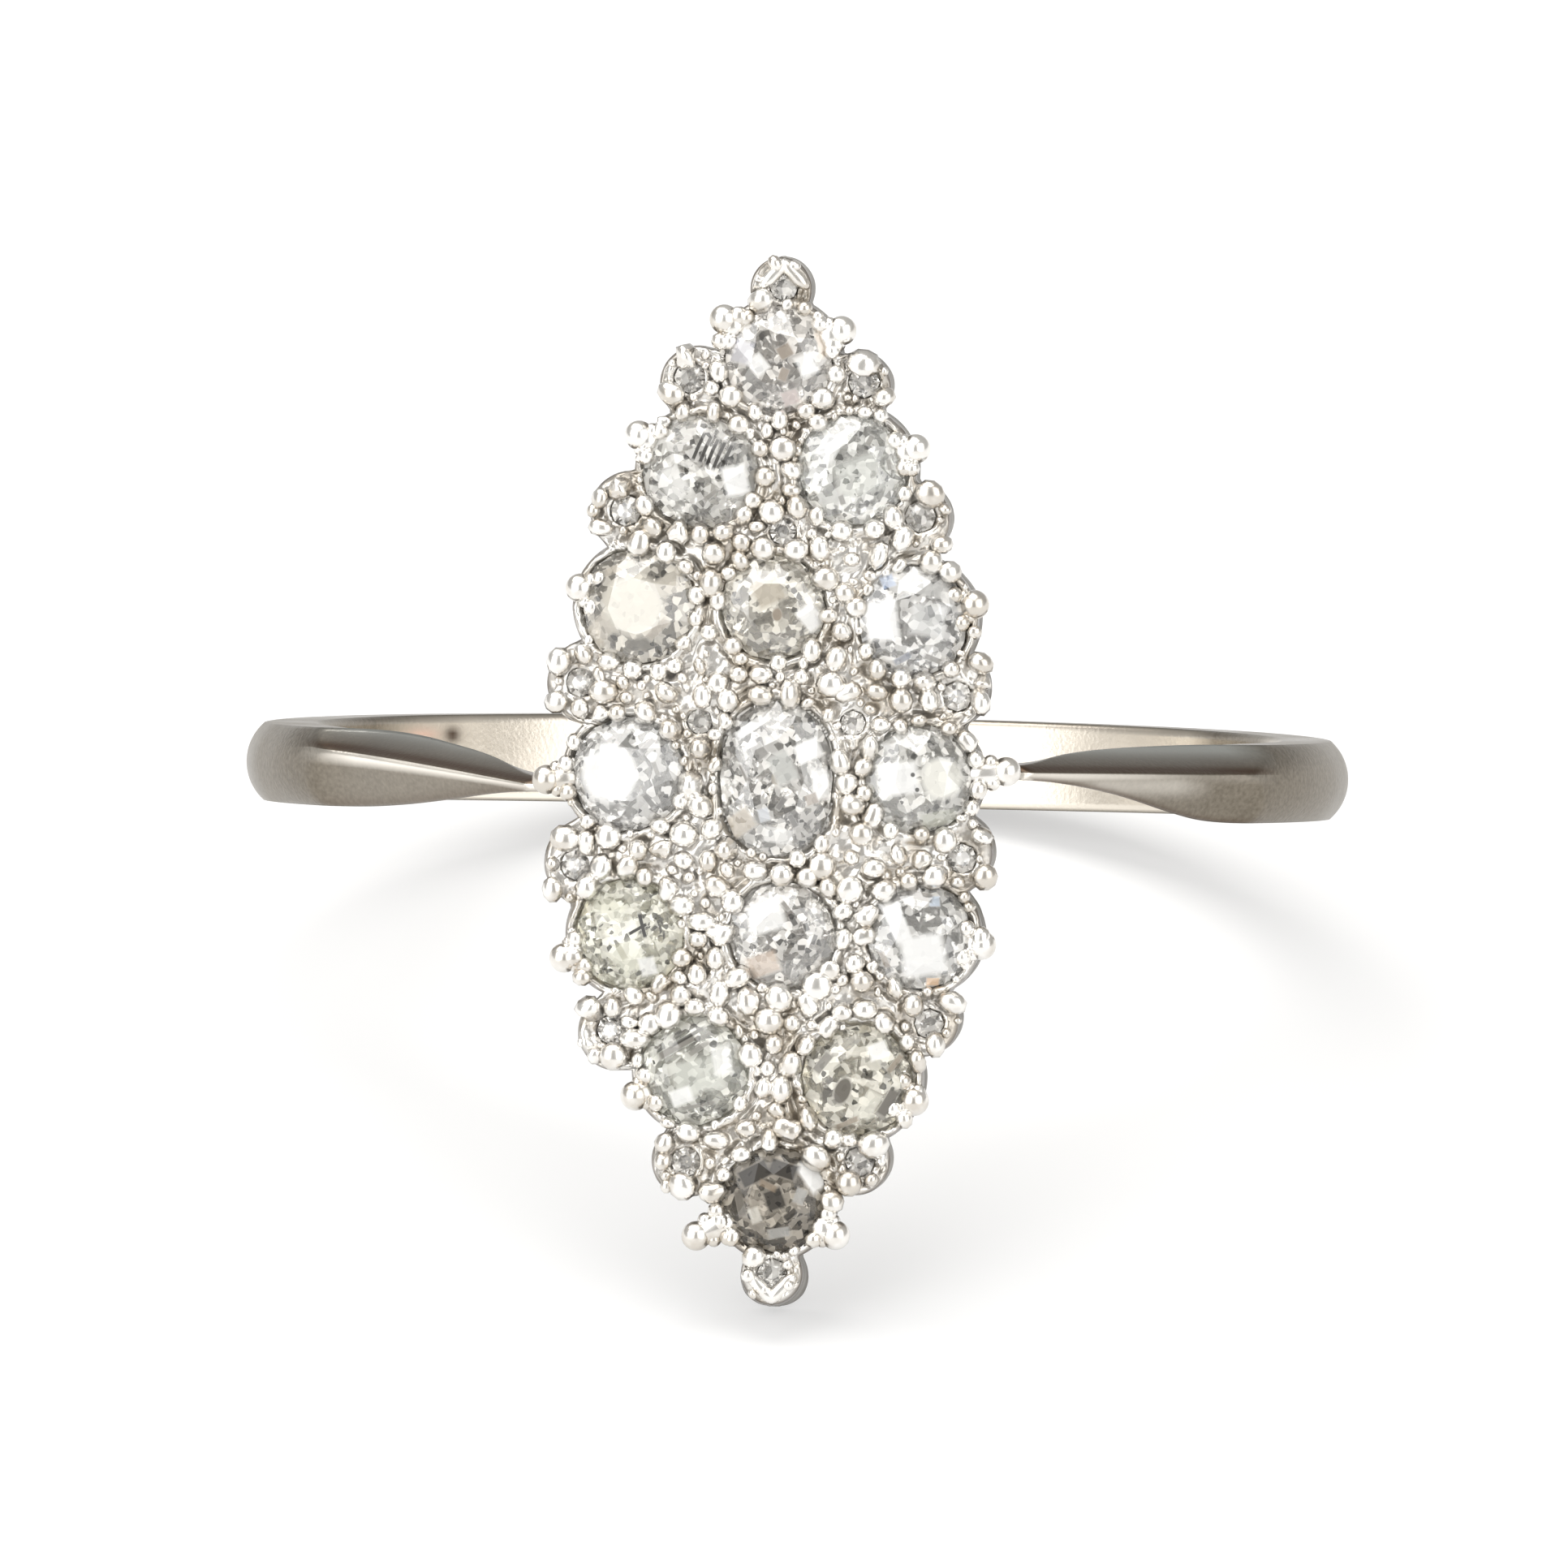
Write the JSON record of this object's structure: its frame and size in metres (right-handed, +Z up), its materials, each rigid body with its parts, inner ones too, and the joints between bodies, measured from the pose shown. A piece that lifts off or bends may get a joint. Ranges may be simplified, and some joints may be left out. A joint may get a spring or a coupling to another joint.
{
  "type": "navette ring",
  "caption": "Boat-shaped cluster ring: old-cut stones in a scalloped head of white metal, on a band with knife-edge shoulders, lying on its side.",
  "frame": {"origin": "middle of the part's box, on the surface that the ring lies on", "axes": "+Z up from the surface, -Y the way the head faces, X across the head and the finger hole"},
  "size_m": [0.0196, 0.0222, 0.0173],
  "materials": {
    "metal": "polished platinum in the head, worn satin on the band and shoulders",
    "stone": "clear old-cut stones, faceted and polished"
  },
  "bodies": {
    "root": {"ring_metal": "metal", "stone_1": "stone", "stone_2_left": "stone", "stone_2_right": "stone", "stone_3_left": "stone", "stone_3_middle": "stone", "stone_3_right": "stone", "stone_4_left": "stone", "stone_4_middle": "stone", "stone_4_right": "stone", "stone_5_left": "stone", "stone_5_middle": "stone", "stone_5_right": "stone", "stone_6_left": "stone", "stone_6_right": "stone", "stone_7": "stone", "chip_tip_top": "stone", "chip_tip_bottom": "stone", "chip_1_left": "stone", "chip_1_right": "stone", "chip_2_left": "stone", "chip_2_right": "stone", "chip_3_left": "stone", "chip_3_right": "stone", "chip_4_left": "stone", "chip_4_right": "stone", "chip_5_left": "stone", "chip_5_right": "stone", "chip_6_left": "stone", "chip_6_right": "stone", "chip_upper": "stone", "chip_middle_left": "stone", "chip_middle_right": "stone"}
  },
  "joints": []
}
